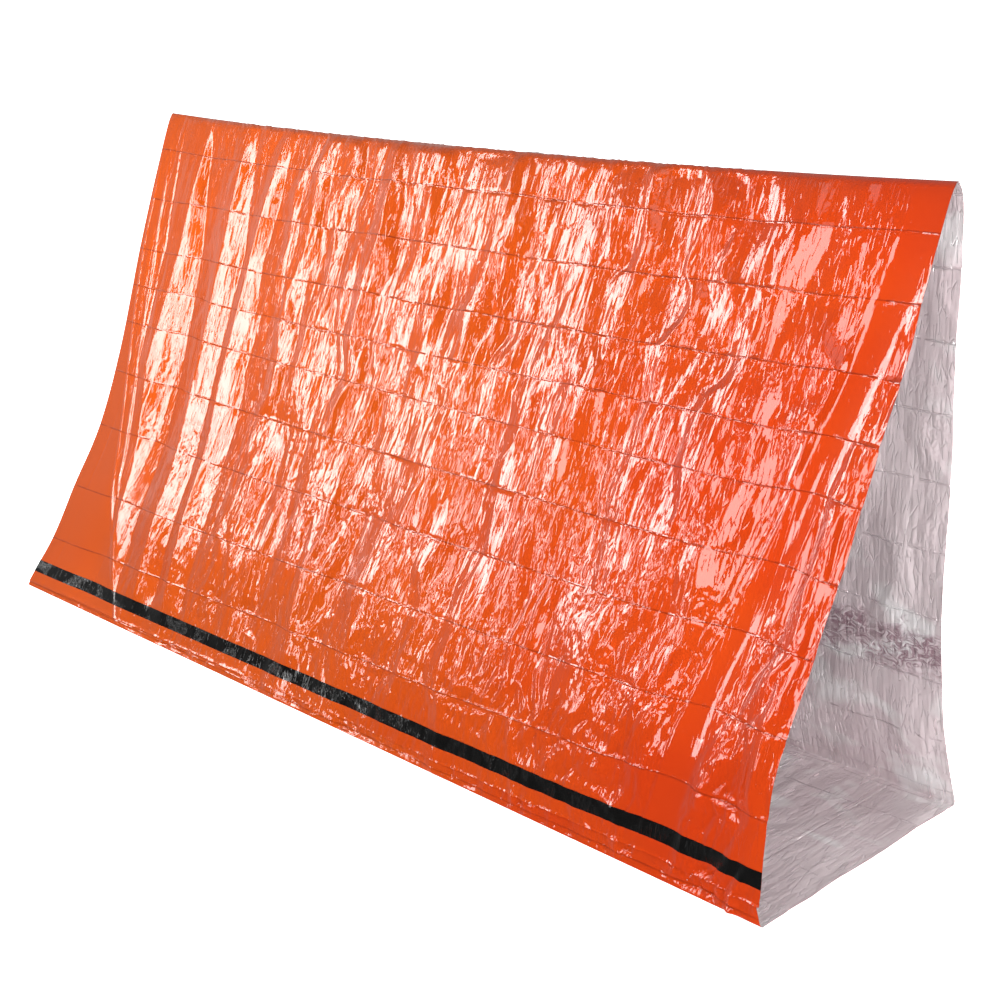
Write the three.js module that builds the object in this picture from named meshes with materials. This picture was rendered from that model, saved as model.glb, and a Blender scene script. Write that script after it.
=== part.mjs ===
// Emergency tube tent, pitched: one tube of metallised film, open at both ends, standing as a
// triangular tunnel. The film is an orange sheet with an aluminised lining laminated to it. It is
// wrapped once round, lapped on itself low on the front wall, and closed there by a black seam tape.
//
// Millimetres. +X runs along the ridge, -Y is the front wall with the tape, +Z is up. The origin is on the
// ground, at the centre of the footprint's bounding box.
import * as THREE from "three";

// Driving dimensions
const LENGTH = 2400;
const FILM = 0.8; // thickness that stands for the orange sheet
const LINING = 0.6; // thickness that stands for the aluminised layer
const CLEARANCE = 0.3; // between two layers, and between two nodes that meet at a fold
const FLOOR_EDGE_GAP = 1; // between the floor lining and the feet of the walls' linings
const RIDGE_SAG = 17; // of the ridge line, halfway between the two ends
const SAG_POWER = 2.3; // how flat the middle of the sagging ridge is
const FOOTPRINT_CENTRE = -257.2; // from the ridge line, along Y

const TAPE = 0.3;
const TAPE_WIDTH = 32;
const TAPE_HEIGHT = { far: 60, near: 91 }; // of the tape's middle, up the front wall from the ground fold
const TAPE_TO_LAP_EDGE = 46; // from the tape's middle down to the sheet's free edge
const TAPE_TO_UNDERLAP_EDGE = 26; // from the tape's middle up to the hidden edge

const NEAR_VALLEY = { depth: 32, width: 95, top: 1185, drop: 225, power: 1.2 };
const FAR_VALLEY = { depth: 14, width: 80, top: -900, drop: 40, power: 1 };

const VALLEY_FADE_POWER = 0.7; // how quickly a valley deepens away from the ridge and the ground
const VALLEY_EDGE_POWER = 12; // how close to an open end a valley dies out

const STATIONS = 20; // along X
const WALL_STEPS = 22; // from the ridge to the ground
const LAP_STEPS = 4; // of those, the ones that the lap and its tape take up
const ROW_POWER = 1.5; // how much closer together the rows are near the ridge
const SLOPE_REACH = 0.004; // share of a wall's length over which its slope is measured

const COLOURS = {
  film: { color: 0xeb5a1e, roughness: 0.2, metalness: 0.25 },
  lining: { color: 0xb9aeb2, roughness: 0.3, metalness: 0.8 },
  tape: { color: 0x0a0909, roughness: 0.25, metalness: 0 },
};

// The outer face of the film at each open end, as [y, z] from the ridge down to the ground fold.
const SECTIONS = {
  front: {
    far: outline(
      [3, 1165],
      [-8, 1150],
      [-60, 1029],
      [-138, 830],
      [-238, 568],
      [-332, 373],
      [-430, 232],
      [-514, 103],
      [-597, 0],
    ),
    near: outline(
      [5, 1170],
      [-6, 1158],
      [-41, 1087],
      [-107, 930],
      [-240, 674],
      [-354, 452],
      [-448, 267],
      [-474, 130],
      [-481, 0],
    ),
  },
  back: {
    far: outline([3, 1165], [12, 1150], [14, 1090], [-8, 800], [-30, 500], [-52, 220], [-60, 0]),
    near: outline([5, 1170], [20, 1153], [28, 1122], [26, 1037], [21, 700], [17, 405], [34, 180], [81, 0]),
  },
};

function outline(...points) {
  const corners = points.map(([y, z]) => new THREE.Vector3(0, y, z));
  return new THREE.CatmullRomCurve3(corners, false, "centripetal");
}

function mix(a, b, share) {
  return a + (b - a) * share;
}

// A soft valley that runs down the front wall from near the ridge: how far the film is drawn inwards at x.
function valley({ depth, width, top, drop, power }, x, down) {
  const middle = top - drop * down ** power;
  const fade = Math.sin(Math.PI * Math.min(1, down)) ** VALLEY_FADE_POWER;
  return depth * fade * Math.exp(-(((x - middle) / width) ** 2));
}

// The outer face of one wall at x, down from the ridge (0) to the ground fold (1).
function wallPoint(side, x, down) {
  const along = x / LENGTH + 0.5;
  const far = SECTIONS[side].far.getPointAt(down);
  const near = SECTIONS[side].near.getPointAt(down);
  const sag = RIDGE_SAG * (1 - Math.abs(along * 2 - 1) ** SAG_POWER) * (1 - down);
  const y = mix(far.y, near.y, along);
  const z = mix(far.z, near.z, along) - sag;
  if (side === "back") return new THREE.Vector2(y, z);
  const edgeFade = 1 - Math.abs(along * 2 - 1) ** VALLEY_EDGE_POWER;
  const drawn = valley(NEAR_VALLEY, x, down) + valley(FAR_VALLEY, x, down);
  return new THREE.Vector2(y + drawn * edgeFade, z);
}

// The same wall, moved inwards by a depth through the layers. Its top row stops half a clearance short of the
// plane where the two walls meet at the ridge, and its foot one clearance above the floor film.
function layerPoint(side, x, down, depth) {
  const above = wallPoint(side, x, Math.max(0, down - SLOPE_REACH));
  const below = wallPoint(side, x, Math.min(1, down + SLOPE_REACH));
  const slope = below.sub(above).normalize();
  const outward = side === "front" ? -1 : 1;
  const inward = new THREE.Vector2(-slope.y, slope.x).multiplyScalar(-outward);
  const point = wallPoint(side, x, down).addScaledVector(inward, depth);
  if (down === 0) point.x = wallPoint(side, x, 0).x + (outward * CLEARANCE) / 2;
  return new THREE.Vector3(x, point.x - FOOTPRINT_CENTRE, Math.max(point.y, FILM + CLEARANCE));
}

function wallLength(side, x) {
  const along = x / LENGTH + 0.5;
  return mix(SECTIONS[side].far.getLength(), SECTIONS[side].near.getLength(), along);
}

// Height up the front wall from the ground fold, measured from the tape's middle, as a share down the wall.
function downAt(x, aboveTape) {
  const along = x / LENGTH + 0.5;
  const height = mix(TAPE_HEIGHT.far, TAPE_HEIGHT.near, along) + aboveTape;
  return 1 - height / wallLength("front", x);
}

// A closed solid between two faces that are grids of rows by columns of points.
function slab(outer, inner, rows, columns) {
  const positions = [];
  for (const face of [outer, inner]) {
    for (let i = 0; i < rows; i += 1) {
      for (let j = 0; j < columns; j += 1) positions.push(...face(i, j).toArray());
    }
  }
  const index = [];
  const at = (layer, i, j) => layer * rows * columns + i * columns + j;
  const quad = (a, b, c, d) => index.push(a, b, c, a, c, d);
  for (let i = 0; i + 1 < rows; i += 1) {
    for (let j = 0; j + 1 < columns; j += 1) {
      quad(at(0, i, j), at(0, i, j + 1), at(0, i + 1, j + 1), at(0, i + 1, j));
      quad(at(1, i, j), at(1, i + 1, j), at(1, i + 1, j + 1), at(1, i, j + 1));
    }
  }
  for (let i = 0; i + 1 < rows; i += 1) {
    quad(at(0, i, 0), at(0, i + 1, 0), at(1, i + 1, 0), at(1, i, 0));
    const last = columns - 1;
    quad(at(0, i, last), at(1, i, last), at(1, i + 1, last), at(0, i + 1, last));
  }
  for (let j = 0; j + 1 < columns; j += 1) {
    quad(at(0, 0, j), at(1, 0, j), at(1, 0, j + 1), at(0, 0, j + 1));
    const last = rows - 1;
    quad(at(0, last, j), at(0, last, j + 1), at(1, last, j + 1), at(1, last, j));
  }
  const geometry = new THREE.BufferGeometry();
  geometry.setAttribute("position", new THREE.Float32BufferAttribute(positions, 3));
  geometry.setIndex(index);
  geometry.computeVertexNormals();
  return geometry;
}

// A grid that comes out inside out is turned by swapping its two faces.
function closed(outer, inner, rows, columns) {
  const geometry = slab(outer, inner, rows, columns);
  return signedVolume(geometry) > 0 ? geometry : slab(inner, outer, rows, columns);
}

function signedVolume(geometry) {
  const points = geometry.getAttribute("position");
  const index = geometry.getIndex();
  const corners = [0, 1, 2].map(() => new THREE.Vector3());
  let volume = 0;
  for (let i = 0; i < index.count; i += 3) {
    corners.forEach((corner, k) => corner.fromBufferAttribute(points, index.getX(i + k)));
    volume += corners[0].dot(corners[1].clone().cross(corners[2])) / 6;
  }
  return volume;
}

// Stations along X, closer together towards the two open ends.
function stationX(i) {
  const share = (i / STATIONS) * 2 - 1;
  return (LENGTH / 2) * Math.sin((Math.PI / 2) * share);
}

const group = new THREE.Group();

function add(name, finish, geometry) {
  const mesh = new THREE.Mesh(geometry, new THREE.MeshStandardMaterial(COLOURS[finish]));
  mesh.name = name;
  group.add(mesh);
}

// One layer of a wall, through its rows of points. Each row is a function of x that gives its share down the
// wall, and layers that lie on each other have the same rows, so that their facets stay parallel.
function addWallLayer(name, finish, side, rows, depth, thickness) {
  const face = (d) => (i, j) => layerPoint(side, stationX(i), rows[j](stationX(i)), d);
  add(name, finish, closed(face(depth), face(depth + thickness), STATIONS + 1, rows.length));
}

// Rows from the ridge down to a last one, closest together at the ridge.
function rowsDownTo(last, steps) {
  return Array.from({ length: steps + 1 }, (_, j) => (x) => last(x) * (j / steps) ** ROW_POWER);
}

// Depths of the layers below the front wall's outer face
const liningDepth = FILM + CLEARANCE;
const underlapDepth = liningDepth + LINING + CLEARANCE;
const underlapLiningDepth = underlapDepth + FILM + CLEARANCE;
const innermost = underlapLiningDepth + LINING;

const ground = () => 1;
const lapEdge = (x) => downAt(x, -TAPE_TO_LAP_EDGE);
const underlapEdge = (x) => downAt(x, TAPE_TO_UNDERLAP_EDGE);
const tapeRows = [(x) => downAt(x, TAPE_WIDTH / 2), (x) => downAt(x, -TAPE_WIDTH / 2)];
const upperRows = rowsDownTo(underlapEdge, WALL_STEPS - LAP_STEPS);
const lappedRows = [...upperRows, ...tapeRows, lapEdge];
const underlapRows = [underlapEdge, ...tapeRows, lapEdge, ground];
const backRows = rowsDownTo(ground, WALL_STEPS);

addWallLayer("front_wall_film", "film", "front", lappedRows, 0, FILM);
addWallLayer("front_wall_lining", "lining", "front", lappedRows, liningDepth, LINING);
addWallLayer("back_wall_film", "film", "back", backRows, 0, FILM);
addWallLayer("back_wall_lining", "lining", "back", backRows, liningDepth, LINING);
addWallLayer("seam_underlap_film", "film", "front", underlapRows, underlapDepth, FILM);
addWallLayer("seam_underlap_lining", "lining", "front", underlapRows, underlapLiningDepth, LINING);
addWallLayer("seam_tape", "tape", "front", tapeRows, -TAPE - CLEARANCE, TAPE);

// The floor lies flat between two lines along X, each a function of x.
function addFloor(name, finish, low, thickness, frontLine, backLine) {
  const face = (z) => (i, j) => {
    const x = stationX(i);
    return new THREE.Vector3(x, j === 0 ? frontLine(x) : backLine(x), z);
  };
  add(name, finish, closed(face(low), face(low + thickness), STATIONS + 1, 2));
}

const footLine = (side, depth) => (x) => layerPoint(side, x, 1, depth).y;

addFloor("floor_film", "film", 0, FILM, footLine("front", underlapDepth), footLine("back", 0));
addFloor(
  "floor_lining",
  "lining",
  FILM + CLEARANCE,
  LINING,
  footLine("front", innermost + FLOOR_EDGE_GAP),
  footLine("back", liningDepth + LINING + FLOOR_EDGE_GAP),
);

export default group;
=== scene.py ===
# Emergency tube tent: one tube of metallised film, pitched as a triangular tunnel that is open at both ends.
#
# The orange film and its aluminised lining are one dense curved grid each, wrapped the way the real sheet
# is: up the front wall from the lap's free edge, over the ridge, down the back wall, across the ground and
# up again behind the lap. Folding creases, pulled facets, large hanging folds and crumples are heights on
# that grid, in millimetres, and the finest wrinkles are bump. Everything random is hashed from fixed seeds.
import bpy
import math
import numpy as np
from mathutils import Matrix, Vector


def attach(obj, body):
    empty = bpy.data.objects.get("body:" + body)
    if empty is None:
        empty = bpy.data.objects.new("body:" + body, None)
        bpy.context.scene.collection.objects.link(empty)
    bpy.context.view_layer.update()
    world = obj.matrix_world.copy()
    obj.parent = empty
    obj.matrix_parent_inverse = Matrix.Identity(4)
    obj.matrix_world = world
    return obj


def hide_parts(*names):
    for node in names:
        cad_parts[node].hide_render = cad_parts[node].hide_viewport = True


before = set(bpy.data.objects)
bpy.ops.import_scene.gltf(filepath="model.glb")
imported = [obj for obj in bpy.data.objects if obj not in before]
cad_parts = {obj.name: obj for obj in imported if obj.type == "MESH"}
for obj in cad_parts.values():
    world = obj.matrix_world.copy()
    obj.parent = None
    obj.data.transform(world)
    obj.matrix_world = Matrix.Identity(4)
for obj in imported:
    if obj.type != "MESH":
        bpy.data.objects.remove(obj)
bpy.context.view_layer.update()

MM = 0.001

# The pitched shape, the same as the CAD's, in millimetres
LENGTH = 2400.0
RIDGE_SAG = 17.0
SAG_POWER = 2.3
FOOTPRINT_CENTRE = -257.2
FRONT_FAR = [
    (3, 1165), (-8, 1150), (-60, 1029), (-138, 830), (-238, 568),
    (-332, 373), (-430, 232), (-514, 103), (-597, 0),
]
FRONT_NEAR = [
    (5, 1170), (-6, 1158), (-41, 1087), (-107, 930), (-240, 674),
    (-354, 452), (-448, 267), (-474, 130), (-481, 0),
]
BACK_FAR = [(3, 1165), (12, 1150), (14, 1090), (-8, 800), (-30, 500), (-52, 220), (-60, 0)]
BACK_NEAR = [(5, 1170), (20, 1153), (28, 1122), (26, 1037), (21, 700), (17, 405), (34, 180), (81, 0)]
NEAR_VALLEY = dict(depth=32, width=95, top=1185, drop=225, power=1.2)
FAR_VALLEY = dict(depth=14, width=80, top=-900, drop=40, power=1.0)
VALLEY_FADE_POWER = 0.7  # how quickly a valley deepens away from the ridge and the ground
VALLEY_EDGE_POWER = 12  # how close to an open end a valley dies out

# The lap and its tape, heights up the front wall from the ground fold
TAPE_WIDTH = 32.0
TAPE_FAR = 60.0
TAPE_NEAR = 91.0
TAPE_TO_LAP_EDGE = 46.0
TAPE_TO_UNDERLAP_EDGE = 26.0
UNDERLAP_DEPTH = 2.2
TAPE_LIFT = 0.45
TAPE_HOLD = 0.65  # how much flatter the stiff tape keeps the film
LINING_DEPTH = 0.7
FLOOR_LIFT = 0.5
LOWEST = 0.3  # of any point of the film above the ground
RECESS = 7.0  # of the underlap's near edge below the lap, which dies out at the ground

# The creases of the folded pack, as shares of the way down the front wall, at the far and the near end
FOLDS_FAR = [0.078, 0.177, 0.278, 0.352, 0.427, 0.530, 0.643, 0.777, 0.890]
FOLDS_NEAR = [0.072, 0.165, 0.265, 0.352, 0.433, 0.533, 0.632, 0.738, 0.845]
FOLD_SPACING = 125.0
RIDGE_ROW = 0.75  # where the ridge lies between two creases
LAST_PART_ROW = 0.1  # how much of a row lies between the last crease and the ground
CREASE_WANDER = 0.0016  # of a crease from its line, as a share of the wall

# The creases across the pack
CELL_WIDTH = 200.0
CELL_START = 65.0
CELL_JITTER = 0.03
FAR_FROM_CREASE = 12  # mm, beyond which a material treats every distance to a crease alike

# Sheet coordinates, and what is placed by them
UV_UNIT = 3.2  # metres of sheet for one unit of UV
RIDGE_TICK = 18.0  # spacing of the fine gathers along the ridge
RIDGE_LEAN = 1.6  # how far they lean along the ridge for each mm down
CRINKLED_AT = 2140.0  # the middle of a crinkled band of lining, painted dark there as a reflection, around the tube from the front ground fold
CRINKLED_WIDTH = 55.0

COLUMN_STEP = 3.0
ROW_STEP = 3.0
CROWDING = 0.33  # of the rows towards the creases: their step there is smaller by this share

# About how long each stretch of rows is, in mm, which only sets how many rows it has
FRONT_STRETCH = 120
FRONT_TOP_STRETCH = 95
BACK_STRETCH = 125
BACK_TOP_STRETCH = 31
FLOOR_STRETCH = 550 / 1.6  # the ground sheet has rows 1.6 times as far apart
UNDERLAP_STRETCH = 100
TAPE_ROWS = 17


# ---------------------------------------------------------------- seeded noise on arrays

# The odd multipliers of the hash
HASH_ACROSS = 374761393
HASH_DOWN = 668265263
HASH_SEED = 1442695041
HASH_STIRS = (1274126177, 2246822519)
HASH_MASK = 0xFFFFFFFF


def hashed(i, j, seed):
    """A number from -1 to 1 for each pair of whole numbers."""
    i = np.asarray(i).astype(np.int64)
    j = np.asarray(j).astype(np.int64)
    n = (i * HASH_ACROSS + j * HASH_DOWN + seed * HASH_SEED) & HASH_MASK
    n = ((n ^ (n >> 13)) * HASH_STIRS[0]) & HASH_MASK
    n = ((n ^ (n >> 16)) * HASH_STIRS[1]) & HASH_MASK
    n = n ^ (n >> 15)
    return n / (HASH_MASK / 2) - 1.0


def between_corners(i, j, p, q, seed):
    """The random heights of a cell's corners, mixed by p across and q down."""
    low = hashed(i, j, seed) * (1 - p) + hashed(i + 1, j, seed) * p
    high = hashed(i, j + 1, seed) * (1 - p) + hashed(i + 1, j + 1, seed) * p
    return low * (1 - q) + high * q


def eased(t):
    return t * t * (3 - 2 * t)


def smooth_noise(u, v, seed):
    """Rounded value noise, from -1 to 1."""
    i = np.floor(u)
    j = np.floor(v)
    return between_corners(i, j, eased(u - i), eased(v - j), seed)


def bilinear(u, v, seed):
    """The same without the rounding, so that it creases along whole u and v."""
    i = np.floor(u)
    j = np.floor(v)
    return between_corners(i, j, u - i, v - j, seed)


def facets(u, v, seed):
    """Flat triangles between random heights: film that has been crushed. From -1 to 1."""
    i = np.floor(u)
    j = np.floor(v)
    p = u - i
    q = v - j
    h00 = hashed(i, j, seed)
    h10 = hashed(i + 1, j, seed)
    h01 = hashed(i, j + 1, seed)
    h11 = hashed(i + 1, j + 1, seed)
    falling = np.where(p + q < 1, h00 + (h10 - h00) * p + (h01 - h00) * q,
                       h11 + (h01 - h11) * (1 - p) + (h10 - h11) * (1 - q))
    rising = np.where(p > q, h00 + (h10 - h00) * p + (h11 - h10) * q,
                      h00 + (h01 - h00) * q + (h11 - h01) * p)
    return np.where(hashed(i, j, seed + 77) > 0, falling, rising)


def step(low, high, value):
    """0 below low and 1 above high, with a smooth rise between. With high below low, it falls."""
    return eased(np.clip((value - low) / (high - low), 0, 1))


# ---------------------------------------------------------------- the pitched shape

def outline(points, samples=1200):
    """A centripetal Catmull-Rom curve: y and z at equal steps of its length, and the length."""
    p = np.array(points, float)
    p = np.vstack([2 * p[0] - p[1], p, 2 * p[-1] - p[-2]])
    spans = []
    for k in range(1, len(p) - 2):
        d0, d1, d2 = (np.linalg.norm(p[k + m] - p[k + m - 1]) ** 0.5 for m in (0, 1, 2))
        before = p[k] - p[k - 1]
        span = p[k + 1] - p[k]
        after = p[k + 2] - p[k + 1]
        t1 = (before / d0 - (p[k + 1] - p[k - 1]) / (d0 + d1) + span / d1) * d1
        t2 = (span / d1 - (p[k + 2] - p[k]) / (d1 + d2) + after / d2) * d1
        t = np.linspace(0, 1, 200, endpoint=False)[:, None]
        a = 2 * p[k] - 2 * p[k + 1] + t1 + t2
        b = -3 * p[k] + 3 * p[k + 1] - 2 * t1 - t2
        spans.append(a * t ** 3 + b * t ** 2 + t1 * t + p[k])
    line = np.vstack(spans + [p[-2:-1]])
    length = np.r_[0, np.cumsum(np.linalg.norm(np.diff(line, axis=0), axis=1))]
    share = np.linspace(0, 1, samples) * length[-1]
    return np.interp(share, length, line[:, 0]), np.interp(share, length, line[:, 1]), length[-1]


SECTIONS = {
    "front": (outline(FRONT_FAR), outline(FRONT_NEAR)),
    "back": (outline(BACK_FAR), outline(BACK_NEAR)),
}


def along(x):
    return x / LENGTH + 0.5


def girth(side, x):
    far, near = SECTIONS[side]
    return far[2] + (near[2] - far[2]) * along(x)


def valley(x, down, depth, width, top, drop, power):
    middle = top - drop * down ** power
    fade = np.sin(math.pi * np.clip(down, 0, 1)) ** VALLEY_FADE_POWER
    return depth * fade * np.exp(-(((x - middle) / width) ** 2))


def wall(side, x, down):
    """The y and z of the outer face of a wall, down from the ridge (0) to the ground fold (1)."""
    far, near = SECTIONS[side]
    share = np.linspace(0, 1, len(far[0]))
    k = along(x)
    y = np.interp(down, share, far[0]) * (1 - k) + np.interp(down, share, near[0]) * k
    z = np.interp(down, share, far[1]) * (1 - k) + np.interp(down, share, near[1]) * k
    z = z - RIDGE_SAG * (1 - np.abs(2 * k - 1) ** SAG_POWER) * (1 - down)
    if side == "front":
        drawn = valley(x, down, **NEAR_VALLEY) + valley(x, down, **FAR_VALLEY)
        y = y + drawn * (1 - np.abs(2 * k - 1) ** VALLEY_EDGE_POWER)
    return y - FOOTPRINT_CENTRE, z


def down_at(x, above_tape):
    height = TAPE_FAR + (TAPE_NEAR - TAPE_FAR) * along(x) + above_tape
    return 1 - height / girth("front", x)


def fold_shares(x):
    """One row of shares down the front wall for each crease, from the ridge to the ground."""
    k = along(x)
    rows = []
    for n, (far, near) in enumerate(zip(FOLDS_FAR, FOLDS_NEAR)):
        wander = CREASE_WANDER * smooth_noise(x / 190 + 5 * n, x * 0 + n, 11)
        rows.append(far * (1 - k) + near * k + wander)
    return np.array(rows)


def row_number(x, down):
    """Rows of the folding grid on the front wall: whole numbers on the creases, falling downwards."""
    shares = fold_shares(x)
    edges = [np.zeros_like(x), *shares, np.ones_like(x)]
    numbers = [RIDGE_ROW, *(-float(n) for n in range(len(shares))), -(len(shares) + LAST_PART_ROW)]
    row = np.full(np.shape(down), numbers[0])
    for n in range(len(edges) - 1):
        part = np.clip((down - edges[n]) / (edges[n + 1] - edges[n]), 0, 1)
        row = row + part * (numbers[n + 1] - numbers[n])
    return row


# ---------------------------------------------------------------- the film's relief, in millimetres

# The relief from crease to crease: how high it stands, and how wide it is along the ridge
CORNER = (3.4, 170)
BROAD = (6.0, 62)
LONG = (6.0, 45)
LONG_ROWS = 3.3  # how many rows the long relief runs through
PILLOW = 0.9  # of a cell's middle
FACET_SHIFT = 19  # of the facets along the ridge, from one row to the next
STREAK_SHIFT = 13

# Layers of facets: how high they stand, how wide they are along the ridge and how long around the tube
MIDDLE = (2.9, 24, 150)
NARROW = (0.85, 9.5, 110)
FINE = (0.4, 5, 42)
CRUSHED = (1.1, 11, 13)
CRUSHED_FINE = (0.6, 6.5, 7.5)
HANGING = (9.0, 96, 620)
STREAK = (3.2, 17, 75)
STREAK_FINE = (1.1, 8, 34)
PITCH = (3.6, 60, 27)
LOOSE = (2.2, 33, 21)
LOOSE_FINE = (1.0, 12, 16)
GATHERED = (1.0, 9, 60)

# What the two open ends and the tape do to the film
FAR_LINE = dict(top=-1190, drop=423, power=3.1)  # the edge of the smooth film at the far end
BAND_START = (-62, -48)  # of the smooth band at the near end, across it from the valley's middle
BAND_END = (10, 45)
FAR_GAP = 62  # from there to the second thin line at the far end
FAR_BULGE = 4.0
TURNED_BACK = 0.03  # slope of the film beyond that edge
COHERENT_FROM = -640  # x up to which the large folds rule
COHERENT_TO = -420
PUCKER = 7.0  # of the ground sheet beside the back fold
LIP = 1.7  # how far the lap's free edge curls up, give or take LIP_UNEVEN
LIP_UNEVEN = 0.9
BACK_LIVELY = 0.75
FLOOR_LIVELY = 0.6

# Large folds that hang from the ridge at the far end: the x of each edge at five heights from the ridge
# down, and how far it stands out. The film comes out across each strip and falls back between strips.
DRAPE_EDGES = [
    ((-1120, -1085, -1095, -990, -880), -2),
    ((-992, -1008, -1045, -950, -870), 7),
    ((-988, -935, -910, -865, -820), -7),
    ((-815, -818, -815, -770, -730), 7),
    ((-785, -730, -735, -700, -660), -7),
    ((-660, -690, -690, -650, -600), 6),
    ((-620, -640, -600, -570, -540), -6),
    ((-530, -540, -520, -500, -470), 0),
]


def hanging_edge(points, down):
    return np.interp(down, np.linspace(0, 1, len(points)), points)


def far_drapes(x, down):
    """The large folds at the far end."""
    height = np.zeros_like(x)
    for (left, low), (right, high) in zip(DRAPE_EDGES[:-1], DRAPE_EDGES[1:]):
        start = hanging_edge(left, down)
        end = hanging_edge(right, down)
        share = (x - start) / (end - start)
        height = height + np.where((share >= 0) & (share < 1), low + (high - low) * share, 0)
    return height


def cells(x, seed):
    """Which cell of the folding grid each point is in, where in it, and how far its side creases are."""
    u = (x - CELL_START) / CELL_WIDTH

    def edge(j):
        return j + CELL_JITTER * hashed(j, j * 0, seed)

    j = np.floor(u)
    j = np.where(u < edge(j), j - 1, j)
    j = np.where(u >= edge(j + 1), j + 1, j)
    left = edge(j)
    right = edge(j + 1)
    share = (u - left) / (right - left)
    return j, share, np.minimum(u - left, right - u) * CELL_WIDTH


def crease_distance(row):
    """How far a point is from the nearest crease, in mm."""
    return np.abs(row - np.round(row)) * FOLD_SPACING


def warped(x, s, seed, wide, long, amount):
    return x + amount * smooth_noise(x / wide, s / long, seed)


def patches(x, s, wide, long, seed, low, high):
    """Where something happens: 0 to 1, in patches about so wide and so long."""
    return step(low, high, smooth_noise(x / wide, s / long, seed))


def folded(layer, x, s, seed, shift=0.0):
    height, width, length = layer
    return height * facets(x / width + shift, s / length, seed)


def pulled_facets(x, s, row, seed):
    """Film pulled down between creases: long facets that change at each crease, with narrow ones on them."""
    q = warped(x, s, seed + 1, 120, 90, 24)
    q = warped(q, s, seed + 2, 40, 50, 7)
    height, width = BROAD
    broad = height * bilinear(q / width, row + 0.12 * smooth_noise(x / 50, row, seed + 7), seed + 3)
    height, width = LONG
    broad = broad + height * bilinear(q / width + 0.5, row / LONG_ROWS, seed + 9)
    lean = q + 0.15 * s * smooth_noise(x / 400, s / 500, seed + 8)
    lean = lean + FACET_SHIFT * np.floor(row)
    middle = folded(MIDDLE, lean, s, seed + 4, 0.4) * step(-4, 9, crease_distance(row))
    busy = 0.25 + 0.75 * patches(x, s, 70, 75, seed + 6, -0.35, 0.25)
    return broad + middle * busy


def fine_streaks(x, s, row, seed):
    """Narrow streaks that come in patches, and start anew at each crease."""
    q = warped(x, s, seed + 1, 40, 70, 7) + STREAK_SHIFT * np.floor(row)
    streaks = folded(NARROW, q, s, seed + 2) + folded(FINE, q + 0.1 * s, s, seed + 3)
    return streaks * (0.04 + 0.96 * patches(x, s, 55, 60, seed + 4, -0.05, 0.4))


def relief(x, s, row, seed, strength, crumpled):
    """Heights of a folded and crushed panel, and how far its creases and side creases are."""
    level = np.floor(row)
    part = row - level
    from_fold = crease_distance(row)
    j, across, from_side = cells(x, seed)
    height, width = CORNER
    corner = height * bilinear(x / width + 0.1 * smooth_noise(x / 300, row, seed + 5), row, seed + 6)
    pillow = PILLOW * hashed(j, level, seed + 7) * 4 * across * (1 - across) * 4 * part * (1 - part)
    near_fold = step(-2, 5, from_fold)
    side = -0.6 * np.exp(-from_side / 4) * step(-0.6, 0.2, hashed(j, level, seed + 8))
    fold = 0.6 * np.exp(-from_fold / 3) * np.sign(hashed(level * 0 + np.round(row), level * 0, seed + 9))
    patch = patches(x, s, 95, 80, seed + 12, 0.05, 0.5)
    crushed = folded(CRUSHED, x + 0.3 * s, s - 0.3 * x, seed + 13)
    crushed = crushed + folded(CRUSHED_FINE, x - 0.5 * s, s + 0.4 * x, seed + 14)
    fine = fine_streaks(x, s, row, seed + 20) * near_fold
    height = strength * (corner + pillow + pulled_facets(x, s, row, seed + 40))
    height = height + strength * fine * (1 - 0.6 * patch * crumpled) + side + fold * (0.4 + 0.6 * strength)
    height = height + 0.6 * patch * crumpled * crushed * near_fold * step(0, 0.4, strength)
    return height, from_fold, from_side


def far_line(down):
    """Where the smooth film that is turned back at the far end starts."""
    return FAR_LINE["top"] + FAR_LINE["drop"] * np.clip(down, 0, 1) ** FAR_LINE["power"]


def pleat(x, line, half_width, height):
    """A narrow ridge along a line."""
    return height * np.clip(1 - np.abs(x - line) / half_width, 0, 1)


def hanging_facets(x, s):
    """Long folds from the ridge to the ground, which close up a little towards the ground."""
    q = warped(x * (1 + 0.00014 * s), s, 88, 210, 260, 14)
    return folded(HANGING, q, s, 90, 0.3)


def buckles(x, s):
    """Steeper streaks and crumples low on the wall, in patches, most of them leaning."""
    q = warped(x + 0.35 * s, s, 61, 60, 40, 9)
    streak = folded(STREAK, q, s, 62) + folded(STREAK_FINE, q, s, 63)
    pitch = folded(PITCH, x + 0.6 * s, s - 0.2 * x, 66)
    busy = patches(x, s, 90, 110, 64, -0.2, 0.3)
    near = 1 + 0.8 * step(200, 1000, x)
    return (streak + pitch * patches(x, s, 100, 50, 65, -0.1, 0.3)) * busy * near


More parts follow.
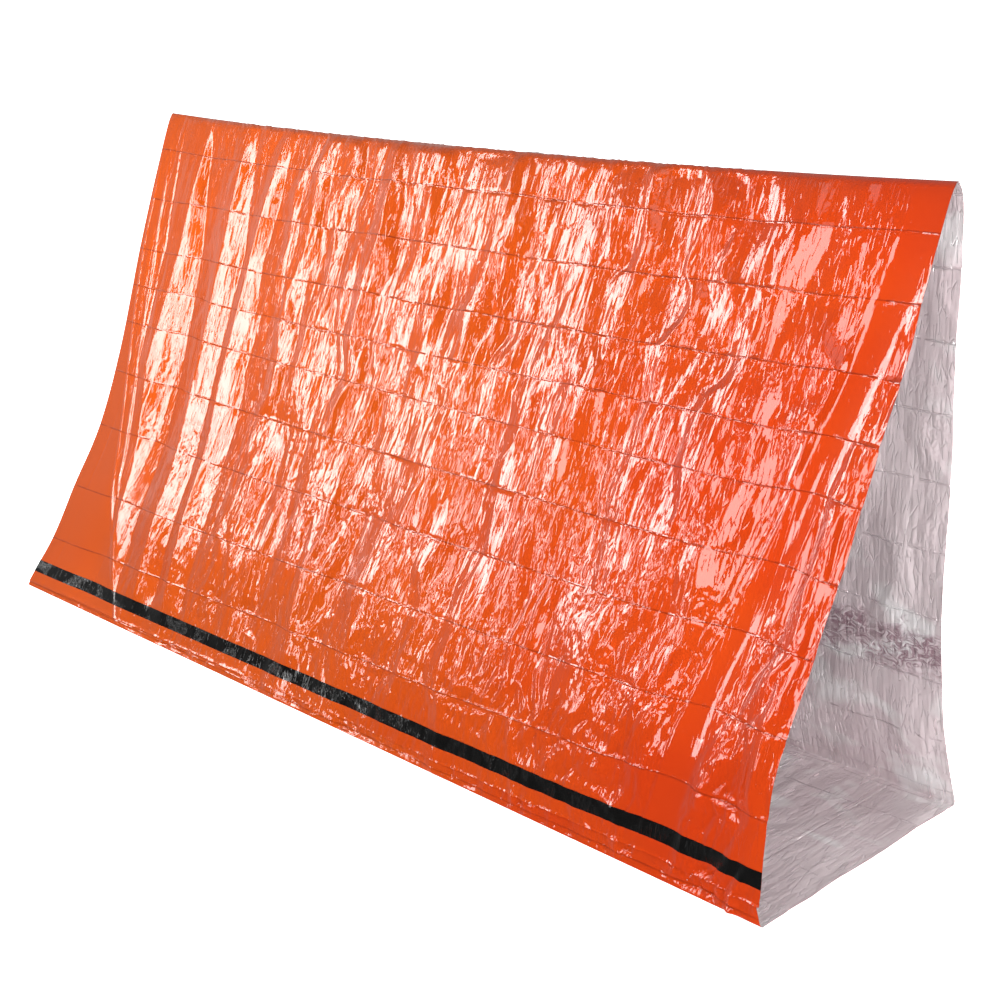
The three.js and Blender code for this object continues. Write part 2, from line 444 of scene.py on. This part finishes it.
def front_relief(x, down):
    """Height, distance to a crease, distance to a side crease and roughness of finish on the front wall."""
    length = girth("front", x)
    s = down * length
    up = length - s
    row = row_number(x, down)
    band = x - (NEAR_VALLEY["top"] - NEAR_VALLEY["drop"] * down ** NEAR_VALLEY["power"])
    flare = step(*BAND_END, band)  # past the smooth band, at the near end
    smooth_band = step(*BAND_START, band) * (1 - flare)
    edge = far_line(down)
    gap = FAR_GAP * (1 - down ** 2) ** 0.9 * (0.55 + 0.45 * step(0, 0.35, down))
    far_end = 1 - step(-10, gap + 20, x - edge)
    coherent = 1 - step(COHERENT_FROM, COHERENT_TO, x)
    near_corner = step(0.26, 0.12, down) * step(750, 900, x)
    lively = (1 - smooth_band) * (1 - 0.95 * far_end) * (1 + 0.3 * flare) * (1 - 0.62 * coherent)
    lively = lively * step(3, 30, s) ** 0.7 * (1 - 0.6 * near_corner)

    low_down = step(0.7, 0.86, down)
    crumpled = 0.5 + 0.8 * step(0.4, 0.7, down) - 0.6 * low_down
    height, from_fold, from_side = relief(x, s, row, 100, lively, crumpled)
    height = height + buckles(x, s) * low_down * lively * step(0, 6, from_fold)

    hanging = step(0, 170, s) ** 0.8 * step(0, 130, up)
    draped = hanging_facets(x, s) * (1 - coherent) * step(1150, 950, x) + far_drapes(x, down)
    height = height + draped * hanging * (1 - smooth_band) * (1 - far_end)

    turned = np.clip(edge - x, 0, None)
    turned_back = TURNED_BACK * (turned - 60 * (1 - np.exp(-turned / 60)))
    height = height - turned_back * step(0.05, 0.3, down) * step(0, 0.2, 1 - down)
    bulge = FAR_BULGE * np.exp(-(((x - edge - 15) / 62) ** 2)) * step(0, 0.3, down) * step(0, 0.12, 1 - down)
    lines = pleat(x, edge + 4, 6, 1.7) + pleat(x, edge + gap, 7, 1.9)
    height = (height + bulge + lines * step(0.05, 0.2, down)) * step(0, 5, s)

    low_end = step(0.93, 0.82, down)
    height = height + pleat(band, -64, 7, 1.3) * step(0.1, 0.25, down) * low_end
    height = height + pleat(band, -84, 8, 1.5) * step(0.3, 0.5, down) * low_end
    from_tape = (down - down_at(x, 0)) * length
    height = height * (1 - TAPE_HOLD * np.exp(-((from_tape / 36) ** 2)))
    height = height * step(0, 12, up)
    return height, from_fold, from_side, np.clip(lively + 0.1, 0, 1)


def other_relief(x, distance, seed, strength, row0):
    """The same for the back wall and the ground sheet, at a distance from where the panel starts."""
    row = row0 + distance / FOLD_SPACING
    height, from_fold, from_side = relief(x, distance, row, seed, strength, 0.7)
    return height, from_fold, from_side, np.clip(strength + 0.1, 0, 1)


# ---------------------------------------------------------------- grids

def spaced(start, end, rough_length):
    """Rows between two creases, about one row step apart, and closer together at the creases."""
    count = max(2, int(round(rough_length / ROW_STEP)))
    t = np.linspace(0, 1, count + 1)
    t = t - CROWDING * np.sin(2 * math.pi * t) / (2 * math.pi)
    return [start + (end - start) * k for k in t]


def panel(stretches):
    """Rows down a wall from stretches of (first share, last share, length), joined without doubled rows."""
    rows = []
    for first, last, length in stretches:
        stretch = spaced(first, last, length)
        rows.extend(stretch[1:] if rows else stretch)
    return np.array(rows)


def surface_normals(points):
    across = np.gradient(points, axis=1)
    up = np.gradient(points, axis=0)
    n = np.cross(across, up)
    return n / np.linalg.norm(n, axis=2, keepdims=True)


def rounded(points, middle, reach, passes):
    """Rounds a fold that runs along one row of the grid."""
    low = max(0, middle - reach)
    high = min(len(points), middle + reach + 1)
    for _ in range(passes):
        part = points[low:high]
        mean = (part[:-2] + 2 * part[1:-1] + part[2:]) / 4
        points[low + 1:high - 1] = mean


columns = np.linspace(-LENGTH / 2, LENGTH / 2, int(LENGTH / COLUMN_STEP) + 1)
ones = np.ones_like(columns)
folds = fold_shares(columns)

# Front wall, from the lap's free edge up to the ridge
lap_edge = down_at(columns, -TAPE_TO_LAP_EDGE)
levels = [lap_edge, *folds[::-1], 0 * ones]
stretch_lengths = [FRONT_STRETCH] * (len(levels) - 2) + [FRONT_TOP_STRETCH]
front_down = panel(zip(levels[:-1], levels[1:], stretch_lengths))

# Back wall, from the ridge down to the ground
back_length = girth("back", columns)
back_marks = [0.0] + [(n - RIDGE_ROW) * FOLD_SPACING for n in range(1, 10)]
back_levels = [m / back_length for m in back_marks] + [ones]
back_stretch_lengths = [BACK_TOP_STRETCH] + [BACK_STRETCH] * (len(back_levels) - 2)
back_down = panel(zip(back_levels[:-1], back_levels[1:], back_stretch_lengths))

# Ground sheet, from the back fold to the front fold, and the underlap from there up behind the lap
floor_share = np.array(spaced(0 * ones, ones, FLOOR_STRETCH))
under_edge = down_at(columns, TAPE_TO_UNDERLAP_EDGE)
under_down = np.array(spaced(ones, under_edge, UNDERLAP_STRETCH))


def wide_columns(rows):
    return np.broadcast_to(columns, rows.shape)


def wall_points(side, down):
    x = wide_columns(down)
    y, z = wall(side, x, down)
    return np.stack([x, y, z], axis=2)


front_points = wall_points("front", front_down)
back_points = wall_points("back", back_down)
back_foot = back_points[-1]
front_foot = wall_points("front", np.ones((1, len(columns))))[0]
front_foot_in = front_foot + np.array([0, UNDERLAP_DEPTH, 0])
floor_points = back_foot + (front_foot_in - back_foot) * floor_share[..., None]
under_points = wall_points("front", under_down)
under_normals = surface_normals(under_points)
under_normals *= np.sign(-under_normals[..., 1:2])
under_points = under_points - under_normals * UNDERLAP_DEPTH

risen = np.clip((1 - under_down) * girth("front", wide_columns(under_down)) / 45, 0, 1)
under_points[..., 0] -= RECESS * risen * step(900, 1200, under_points[..., 0])
parts = [front_points, back_points[1:], floor_points[1:], under_points[1:]]
base = np.concatenate(parts)
ridge_row = len(front_points) - 1
back_row = ridge_row + len(back_points) - 1
front_row = back_row + len(floor_points) - 1
rounded(base, ridge_row, 5, 6)
rounded(base, back_row, 5, 8)
rounded(base, front_row, 4, 6)
base[..., 2] = np.maximum(base[..., 2], FLOOR_LIFT)
normals = surface_normals(base)
if normals[ridge_row // 2, len(columns) // 2, 1] > 0:
    normals = -normals

front_x = wide_columns(front_down)
front_data = list(front_relief(front_x, front_down))
from_lap_edge = (lap_edge - front_down) * girth("front", front_x)
lip = LIP + LIP_UNEVEN * smooth_noise(front_x / 34, from_lap_edge / 60, 71)
front_data[0] = front_data[0] + lip * np.exp(-from_lap_edge / 4)

back_distance = back_down * back_length
back_strength = np.full_like(back_down, BACK_LIVELY)
back_data = other_relief(wide_columns(back_down), back_distance, 500, back_strength, RIDGE_ROW)

floor_x = wide_columns(floor_share)
floor_length = np.linalg.norm(front_foot_in - back_foot, axis=1)
floor_distance = floor_share * floor_length
floor_strength = np.full_like(floor_share, FLOOR_LIVELY)
floor_data = list(other_relief(floor_x, floor_distance, 700, floor_strength, 0.07))
puckered = 0.55 + 0.45 * smooth_noise(floor_x / 60, floor_distance / 60, 75)
floor_data[0] = floor_data[0] + pleat(floor_distance, 24, 9, PUCKER * puckered)

# Below the lap's edge the underlap is loose
under_x = under_points[..., 0]
under_data = list(front_relief(under_x, under_down))
under_up = (1 - under_down) * girth("front", under_x)
loose = folded(LOOSE, under_x + under_up, under_up - 0.2 * under_x, 72)
loose = loose + folded(LOOSE_FINE, under_x, under_up, 73)
loose = loose * patches(under_x, under_up, 130, 90, 74, -0.3, 0.2) * step(0, 9, under_up)
bare_height = (1 - lap_edge) * girth("front", columns)
under_data[0] = under_data[0] + loose * step(2, 10, bare_height - under_up)

height, to_fold, to_side, lively = (
    np.concatenate([front, back[1:], floor[1:], under[1:]])
    for front, back, floor, under in zip(front_data, back_data, floor_data, under_data)
)

# Relief dies out at the ridge and at the ground folds, and the ground sheet is only lifted from the ground
calm = np.ones_like(height)
calm[ridge_row:back_row + 1] = step(0, 12, back_distance) * step(0, 14, back_length - back_distance)
floor_calm = step(0, 15, floor_distance) * step(0, 15, floor_length - floor_distance)
calm[back_row + 1:front_row + 1] = floor_calm[1:]
height = height * calm
height[back_row:front_row] = -np.abs(height[back_row:front_row])

# The film is gathered along the ridge, except at the two ends
ridge_along = np.concatenate([-front_down * girth("front", front_x), back_distance[1:]])
ridge_x = wide_columns(ridge_along)
hatch = folded(GATHERED, ridge_x + 0.7 * ridge_along, ridge_along, 95)
hatch = hatch * (1 - step(6, 30, np.abs(ridge_along))) * step(900, 800, np.abs(ridge_x + 40))
height[:back_row + 1] += hatch

points = base + normals * height[..., None]
points[..., 2] = np.maximum(points[..., 2], LOWEST)

# The distance around the tube from the front ground fold
front_length = girth("front", columns)
sheet_along = np.concatenate([
    (1 - front_down) * front_length,
    front_length + back_distance[1:],
    front_length + back_length + floor_distance[1:],
    front_length + back_length + floor_length + ((1 - under_down) * front_length)[1:],
])


def grid_mesh(name, points_mm, u, v, values):
    """A grid of quads, with its sheet coordinates as UVs in UV units and named values on its points."""
    rows, cols = points_mm.shape[:2]
    mesh = bpy.data.meshes.new(name)
    mesh.vertices.add(rows * cols)
    mesh.vertices.foreach_set("co", (points_mm * MM).astype(np.float32).ravel())
    at = np.arange(rows * cols).reshape(rows, cols)
    quads = np.stack([at[:-1, :-1], at[:-1, 1:], at[1:, 1:], at[1:, :-1]], axis=2).reshape(-1, 4)
    mesh.loops.add(quads.size)
    mesh.loops.foreach_set("vertex_index", quads.ravel().astype(np.int32))
    mesh.polygons.add(len(quads))
    mesh.polygons.foreach_set("loop_start", np.arange(0, quads.size, 4, dtype=np.int32))
    mesh.polygons.foreach_set("use_smooth", np.ones(len(quads), dtype=bool))
    layer = mesh.uv_layers.new(name="sheet")
    flat = np.stack([u, v], axis=2).reshape(-1, 2) * MM / UV_UNIT
    layer.data.foreach_set("uv", flat[quads.ravel()].astype(np.float32).ravel())
    for key, value in values.items():
        attribute = mesh.attributes.new(key, "FLOAT", "POINT")
        attribute.data.foreach_set("value", value.astype(np.float32).ravel())
    mesh.update(calc_edges=True)
    mesh.validate()
    obj = bpy.data.objects.new(name, mesh)
    bpy.context.scene.collection.objects.link(obj)
    return obj


sheet_x = np.broadcast_to(columns, height.shape)
ridge_distance = np.abs(sheet_along - front_length)
values = {
    "at_ridge": (1 - step(8, 20, ridge_distance)) * step(-1100, -1000, sheet_x),
    "crinkled": np.exp(-((sheet_along - CRINKLED_AT) / CRINKLED_WIDTH) ** 2),
    "redder": step(-300, 1300, sheet_x),
    "to_fold": np.minimum(to_fold, FAR_FROM_CREASE),
    "to_side": np.minimum(to_side, FAR_FROM_CREASE),
    "lively": lively,
}
sheet_across = sheet_x + LENGTH / 2
film = grid_mesh("outer_film", points, sheet_across, sheet_along, values)

# The lining's rows run the other way, so that it faces inwards
lining_points = points - normals * LINING_DEPTH
lining_points[..., 2] = np.maximum(lining_points[..., 2], LOWEST + LINING_DEPTH)
lining_values = {name: value[::-1] for name, value in values.items()}
lining = grid_mesh("inner_lining", lining_points[::-1], sheet_across[::-1], sheet_along[::-1], lining_values)

# The tape follows the same relief, a little proud of the film
tape_rows = np.linspace(-TAPE_WIDTH / 2, TAPE_WIDTH / 2, TAPE_ROWS)
tape_down = np.array([down_at(columns, h) for h in tape_rows])
tape_base = wall_points("front", tape_down)
tape_normals = surface_normals(tape_base)
tape_normals *= np.sign(-tape_normals[..., 1:2])
tape_x = wide_columns(tape_down)
tape_height, _, tape_to_side, tape_lively = front_relief(tape_x, tape_down)
tape_points = tape_base + tape_normals * (tape_height[..., None] + TAPE_LIFT)
tape_across = np.broadcast_to(tape_rows[:, None] + TAPE_WIDTH / 2, tape_down.shape)
tape_values = {
    "to_fold": np.full_like(tape_down, FAR_FROM_CREASE),
    "to_side": np.minimum(tape_to_side, FAR_FROM_CREASE),
    "lively": tape_lively,
}
tape = grid_mesh("seam_tape_strip", tape_points, tape_x + LENGTH / 2, tape_across, tape_values)


# ---------------------------------------------------------------- materials

FILM_ORANGE = (0.56, 0.078, 0.006)
FILM_RED = (0.49, 0.036, 0.003)
# The dark brown painted along the creases as shade
FILM_CREASE_SHADE = (0.12, 0.008, 0.001)
LINING_PALE = (0.92, 0.845, 0.855)
LINING_DEEP = (0.72, 0.62, 0.64)
LINING_HAZE = (0.98, 0.98, 0.98)
# The mauve painted on the crinkled band as a dark reflection
LINING_DARK_REFLECTION = (0.34, 0.21, 0.25)
TAPE_BLACK = (0.0015, 0.0015, 0.0015)
TAPE_GREY = (0.004, 0.0035, 0.0035)


class Nodes:
    """A short way to write a material's nodes."""

    def __init__(self, name):
        self.material = bpy.data.materials.new(name)
        self.material.use_nodes = True
        self.tree = self.material.node_tree
        self.tree.nodes.clear()

    def add(self, kind, inputs=None, **settings):
        node = self.tree.nodes.new(kind)
        for key, value in settings.items():
            setattr(node, key, value)
        for key, value in (inputs or {}).items():
            if isinstance(value, bpy.types.NodeSocket):
                self.tree.links.new(value, node.inputs[key])
            else:
                node.inputs[key].default_value = value
        return node

    def math(self, operation, a, b=0.0, c=0.0):
        node = self.add("ShaderNodeMath", {0: a, 1: b, 2: c}, operation=operation)
        return node.outputs[0]

    def value(self, name):
        return self.add("ShaderNodeAttribute", attribute_name=name).outputs["Fac"]

    def coordinates(self, across, down, offset=0.0):
        """Sheet coordinates: one unit every `across` mm along the ridge and `down` mm around the tube."""
        uv = self.add("ShaderNodeUVMap", uv_map="sheet").outputs["UV"]
        scale = (UV_UNIT * 1000 / across, UV_UNIT * 1000 / down, 1)
        place = {"Vector": uv, "Scale": scale, "Location": (offset, offset, 0)}
        return self.add("ShaderNodeMapping", place).outputs[0]

    def noise(self, across, down, detail=1.0, distortion=0.0, offset=0.0):
        vector = self.coordinates(across, down, offset)
        inputs = {"Vector": vector, "Scale": 1.0, "Detail": detail, "Distortion": distortion}
        return self.add("ShaderNodeTexNoise", inputs, noise_dimensions="2D").outputs[0]

    def ridged(self, across, down, detail=1.0, distortion=0.0, offset=0.0):
        """Noise folded about its middle, for sharp valleys: 0 on them and about 0.3 away from them."""
        centred = self.math("SUBTRACT", self.noise(across, down, detail, distortion, offset), 0.5)
        return self.math("ABSOLUTE", centred)

    def cracks(self, across, down, offset=0.0):
        """Distance to the edge of random cells: 0 on the edges."""
        vector = self.coordinates(across, down, offset)
        node = self.add("ShaderNodeTexVoronoi", {"Vector": vector, "Scale": 1.0}, voronoi_dimensions="2D",
                        feature="DISTANCE_TO_EDGE")
        return node.outputs["Distance"]

    def spread(self, value, low, high, to_low=0.0, to_high=1.0):
        """A value from low to high, spread over to_low to to_high."""
        inputs = {"Value": value, "From Min": low, "From Max": high, "To Min": to_low, "To Max": to_high}
        return self.add("ShaderNodeMapRange", inputs).outputs[0]

    def mix(self, share, first, second):
        """A colour between two, each three numbers or a socket."""
        pair = {6: first, 7: second}
        for key, colour in pair.items():
            if not isinstance(colour, bpy.types.NodeSocket):
                pair[key] = (*colour, 1)
        return self.add("ShaderNodeMix", {0: share, **pair}, data_type="RGBA").outputs[2]

    def line(self, distance, width):
        """1 on a crease, falling to 0 within about its width in mm."""
        return self.math("MAXIMUM", self.math("SUBTRACT", 1.0, self.math("DIVIDE", distance, width)), 0.0)

    def bump(self, height):
        """Bump from a height in mm."""
        inputs = {"Height": height, "Distance": MM, "Strength": 1.0}
        return self.add("ShaderNodeBump", inputs).outputs["Normal"]

    def finish(self, shader):
        self.tree.links.new(shader.outputs[0], self.add("ShaderNodeOutputMaterial").inputs[0])
        return self.material


def wrinkle_height(n, scale=1.0):
    """The finest wrinkles of the film, in mm. The last number of each texture only moves it."""
    lively = n.value("lively")
    uneven = n.noise(60, 120, 1.0, 0.0, 21.0)
    long_edges = n.cracks(18, 130)
    short_edges = n.cracks(9, 46, 3.0)
    total = n.math("MULTIPLY", long_edges, n.math("MULTIPLY", uneven, 1.3))
    total = n.math("MULTIPLY_ADD", short_edges, 0.22, total)
    total = n.math("MULTIPLY_ADD", n.ridged(5, 36, 0.0, 0.5, 7.0), 0.1, total)
    cracked = n.math("GREATER_THAN", n.noise(20, 40, 1.0, 0.0, 33.0), 0.5)
    crack = n.math("MULTIPLY", n.line(short_edges, 0.09), cracked)
    total = n.math("MULTIPLY_ADD", crack, -0.3, total)
    total = n.math("MULTIPLY", total, lively)
    patch = n.spread(n.noise(80, 80, 1.0, 0.0, 3.0), 0.52, 0.6)
    crushed = n.math("MULTIPLY", n.math("MULTIPLY", n.cracks(10, 14, 5.0), 0.4), patch)
    total = n.math("MULTIPLY_ADD", crushed, lively, total)
    broken = n.math("GREATER_THAN", n.noise(26, 200, 1.0, 0.0, 9.0), 0.4)
    fold = n.math("MULTIPLY", n.line(n.value("to_fold"), 2.4), broken)
    total = n.math("MULTIPLY_ADD", fold, 0.55, total)
    side = n.math("MULTIPLY", n.line(n.value("to_side"), 2.4), lively)
    total = n.math("MULTIPLY_ADD", side, -0.45, total)
    return n.math("MULTIPLY", total, scale)


def film_material():
    """Orange film under a clear gloss: redder towards the near end, with painted shade darkening its
    creases.
    """
    n = Nodes("orange_film")
    tone = n.noise(420, 300, 2.0)
    uneven = n.math("MULTIPLY_ADD", n.math("SUBTRACT", tone, 0.5), 0.7, n.value("redder"))
    plain = n.mix(uneven, FILM_ORANGE, FILM_RED)
    # Painted shade: the base colour is darkened along the creases.
    crease_shade = n.math("MULTIPLY", n.line(n.value("to_fold"), 2.0), n.noise(40, 200, 1.0, 0.0, 51.0))
    gathered = n.add("ShaderNodeTexWave", {
        "Vector": n.coordinates(RIDGE_TICK / 2, -RIDGE_TICK / 2 / RIDGE_LEAN),
        "Scale": 0.314,  # which puts the diagonal bands two units apart
        "Distortion": 1.5,
        "Detail": 2.0,
        "Detail Scale": 0.3,
    }, wave_profile="SAW", bands_direction="DIAGONAL").outputs["Fac"]
    ticks = n.math("MULTIPLY", gathered, n.math("MULTIPLY", n.value("at_ridge"), 1.6))
    normal = n.bump(n.math("ADD", wrinkle_height(n), ticks))
    shader = n.add("ShaderNodeBsdfPrincipled", {
        "Base Color": n.mix(crease_shade, plain, FILM_CREASE_SHADE),
        "Metallic": 0.2,
        "Roughness": 0.45,
        "Specular IOR Level": 0.0,
        "Coat Weight": 1.0,
        "Coat Roughness": 0.02,
        "Coat IOR": 1.5,
        "Normal": normal,
        "Coat Normal": normal,
    })
    return n.finish(shader)


def lining_material():
    """Milky silver, with whitish haze, crinkled along one band and painted dark there as a reflection."""
    n = Nodes("silver_lining")
    milky = n.mix(n.noise(90, 240, 3.0, 0.5), LINING_PALE, LINING_DEEP)
    haze = n.spread(n.noise(150, 110, 2.0, 0.3, 41.0), 0.54, 0.7)
    hazy = n.mix(haze, milky, LINING_HAZE)
    swirls = n.ridged(26, 15, 5.0, 0.8, 17.0)
    # A ragged band that is crinkled by bump and painted dark in the base colour as a reflection
    ragged_band = n.math("MULTIPLY_ADD", n.noise(60, 40, 3.0, 0.6, 13.0), 1.6, n.value("crinkled"))
    crinkle_and_painted_reflection = n.spread(ragged_band, 1.2, 1.75)
    dark = n.spread(swirls, 0.0, 0.12, 1.0, 0.15)
    height = n.math("MULTIPLY_ADD", n.math("MULTIPLY", swirls, crinkle_and_painted_reflection), 6.0, wrinkle_height(n, 3.2))
    shader = n.add("ShaderNodeBsdfPrincipled", {
        "Base Color": n.mix(n.math("MULTIPLY", crinkle_and_painted_reflection, dark), hazy, LINING_DARK_REFLECTION),
        "Metallic": 0.5,
        "Roughness": n.spread(n.noise(30, 160, 2.0), 0.0, 1.0, 0.13, 0.34),
        "Normal": n.bump(height),
    })
    return n.finish(shader)


def tape_material():
    """Glossy black tape with scratches in patches."""
    n = Nodes("black_tape")
    scratched = n.math("GREATER_THAN", n.noise(70, 60, 1.0, 0.0, 5.0), 0.52)
    height = n.math("MULTIPLY", n.ridged(5, 30, 1.0, 0.8), n.math("MULTIPLY_ADD", scratched, 2.6, 0.5))
    shader = n.add("ShaderNodeBsdfPrincipled", {
        "Base Color": n.mix(n.noise(40, 12, 2.0), TAPE_BLACK, TAPE_GREY),
        "Roughness": 0.06,
        "Specular IOR Level": 0.4,
        "Normal": n.bump(height),
    })
    return n.finish(shader)


film.data.materials.append(film_material())
lining.data.materials.append(lining_material())
tape.data.materials.append(tape_material())

# ---------------------------------------------------------------- the pieces' body, with the CAD's parts hidden

for piece in (film, lining, tape):
    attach(piece, "root")
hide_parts("front_wall_film", "back_wall_film", "seam_underlap_film", "floor_film")
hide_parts("front_wall_lining", "back_wall_lining", "seam_underlap_lining", "floor_lining")
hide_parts("seam_tape")

# ---------------------------------------------------------------- stage, light and camera

scene = bpy.context.scene
scene.view_settings.view_transform = "Standard"
scene.view_settings.look = "None"
scene.view_settings.exposure = 0.0
scene.view_settings.gamma = 1.0


def stage_floor(reach=60.0):
    """A white floor that lights the tent from below, and isn't mirrored in the film."""
    mesh = bpy.data.meshes.new("studio_floor")
    corners = [(-reach, -reach, 0), (reach, -reach, 0), (reach, reach, 0), (-reach, reach, 0)]
    mesh.from_pydata(corners, [], [(0, 1, 2, 3)])
    obj = bpy.data.objects.new("studio_floor", mesh)
    scene.collection.objects.link(obj)
    n = Nodes("studio_floor")
    grain = n.add("ShaderNodeTexNoise", {"Scale": 3.0, "Detail": 3.0}).outputs[0]
    shader = n.add("ShaderNodeBsdfPrincipled", {
        "Base Color": n.spread(grain, 0.0, 1.0, 0.6, 0.62),
        "Roughness": 0.9,
        "Emission Color": (1, 1, 1, 1),
        "Emission Strength": 1.8,
    })
    mesh.materials.append(n.finish(shader))
    obj.visible_glossy = False


stage_floor()

# The world is brighter behind the tent than in front of it, and white where the camera sees it
world = bpy.data.worlds.new("studio")
world.use_nodes = True
scene.world = world
tree = world.node_tree
sky = tree.nodes["Background"]
sky.inputs["Color"].default_value = (1.0, 1.0, 1.0, 1)
direction = tree.nodes.new("ShaderNodeTexCoord")
behind = tree.nodes.new("ShaderNodeVectorMath")
behind.operation = "DOT_PRODUCT"
behind.inputs[1].default_value = (-0.62, 0.74, 0.25)
tree.links.new(direction.outputs["Generated"], behind.inputs[0])
glow = tree.nodes.new("ShaderNodeMapRange")
tree.links.new(behind.outputs["Value"], glow.inputs["Value"])
glow.interpolation_type = "SMOOTHSTEP"
glow.inputs["From Min"].default_value = -0.3
glow.inputs["From Max"].default_value = 0.9
glow.inputs["To Min"].default_value = 0.1
glow.inputs["To Max"].default_value = 0.5
seen = tree.nodes.new("ShaderNodeLightPath")
white = tree.nodes.new("ShaderNodeMath")
white.operation = "MAXIMUM"
tree.links.new(seen.outputs["Is Camera Ray"], white.inputs[0])
tree.links.new(glow.outputs["Result"], white.inputs[1])
tree.links.new(white.outputs[0], sky.inputs["Strength"])


def softbox(name, place, target, width, height, radiance):
    """A rectangular area light that faces its target."""
    light = bpy.data.lights.new(name, "AREA")
    light.shape = "RECTANGLE"
    light.size = width
    light.size_y = height
    light.energy = radiance * math.pi * width * height
    obj = bpy.data.objects.new(name, light)
    scene.collection.objects.link(obj)
    away = Vector(place) - Vector(target)
    obj.location = place
    obj.rotation_mode = "QUATERNION"
    obj.rotation_quaternion = away.to_track_quat("Z", "Y")
    obj.visible_camera = False
    return obj


WALL_MIDDLE = (0.0, 0.02, 0.6)


def around(azimuth, elevation, distance, centre=WALL_MIDDLE):
    """The place at a distance from the centre: azimuth 0 is in front of the wall, and 90 is the near end."""
    a = math.radians(azimuth)
    e = math.radians(elevation)
    x, y, z = centre
    level = distance * math.cos(e)
    return (x + level * math.sin(a), y - level * math.cos(a), z + distance * math.sin(e))


# The key light is a tall box to the front left of the wall. The glints are boxes that only add highlights:
# two lie on the key, and the others are small.
KEY_DIRECTION = (-54.7, 24.3)
NEAR_FOOT = (1.0, -0.2, 0.15)
softbox("key", around(*KEY_DIRECTION, 2.67), WALL_MIDDLE, 0.68, 1.6, 7.8)
glints = [
    softbox("shine", around(*KEY_DIRECTION, 2.665), WALL_MIDDLE, 0.68, 1.6, 3.0),
    softbox("core", around(*KEY_DIRECTION, 2.66), WALL_MIDDLE, 0.36, 1.2, 4.0),
    softbox("strip", around(-32.0, 15.1, 3.45), WALL_MIDDLE, 0.30, 1.7, 9.5),
    softbox("front", around(20.4, 29.8, 1.97), WALL_MIDDLE, 0.92, 1.05, 8.5),
    softbox("near_low", (0.69, -1.67, 0.48), NEAR_FOOT, 0.40, 0.30, 9.0),
    softbox("low", around(-28.6, -2.5, 2.85), WALL_MIDDLE, 0.58, 0.44, 9.5),
]
for light in glints:
    light.visible_diffuse = False
fill = softbox("fill", (1.6, -2.0, 0.5), (1.0, -0.2, 0.2), 1.0, 0.5, 4.5)
fill.visible_glossy = False
softbox("left", around(-92, 12, 3.8), WALL_MIDDLE, 1.8, 2.0, 0.3)
softbox("top", (0.3, -1.8, 3.6), (0, 0, 0.4), 2.4, 1.6, 1.6)
softbox("back", around(140, 1, 3.4), WALL_MIDDLE, 1.7, 1.1, 6.0)
softbox("mouth", (3.3, -0.9, 1.9), (1.0, 0.25, 0.5), 1.3, 1.3, 11.0)

# The camera: its place in metres, and where it looks as an azimuth, an elevation and a roll in degrees
CAMERA_PLACE = (2.716, -2.0578, 1.595)
CAMERA_TURN = (49.12, 19.22, -2.94)
CAMERA_LENS = 59.54


def add_camera():
    azimuth, elevation, roll = (math.radians(angle) for angle in CAMERA_TURN)
    forward_level = math.cos(elevation)
    backward = Vector((
        math.sin(azimuth) * forward_level,
        -math.cos(azimuth) * forward_level,
        math.sin(elevation),
    ))
    level = (-backward).cross(Vector((0, 0, 1))).normalized()
    upright = level.cross(-backward)
    right = level * math.cos(roll) + upright * math.sin(roll)
    upward = upright * math.cos(roll) - level * math.sin(roll)
    camera = bpy.data.objects.new("camera", bpy.data.cameras.new("camera"))
    scene.collection.objects.link(camera)
    turn = Matrix((right, upward, backward)).transposed().to_4x4()
    camera.matrix_world = Matrix.Translation(CAMERA_PLACE) @ turn
    camera.data.lens = CAMERA_LENS
    camera.data.sensor_width = 36
    camera.data.clip_end = 200
    scene.camera = camera


add_camera()
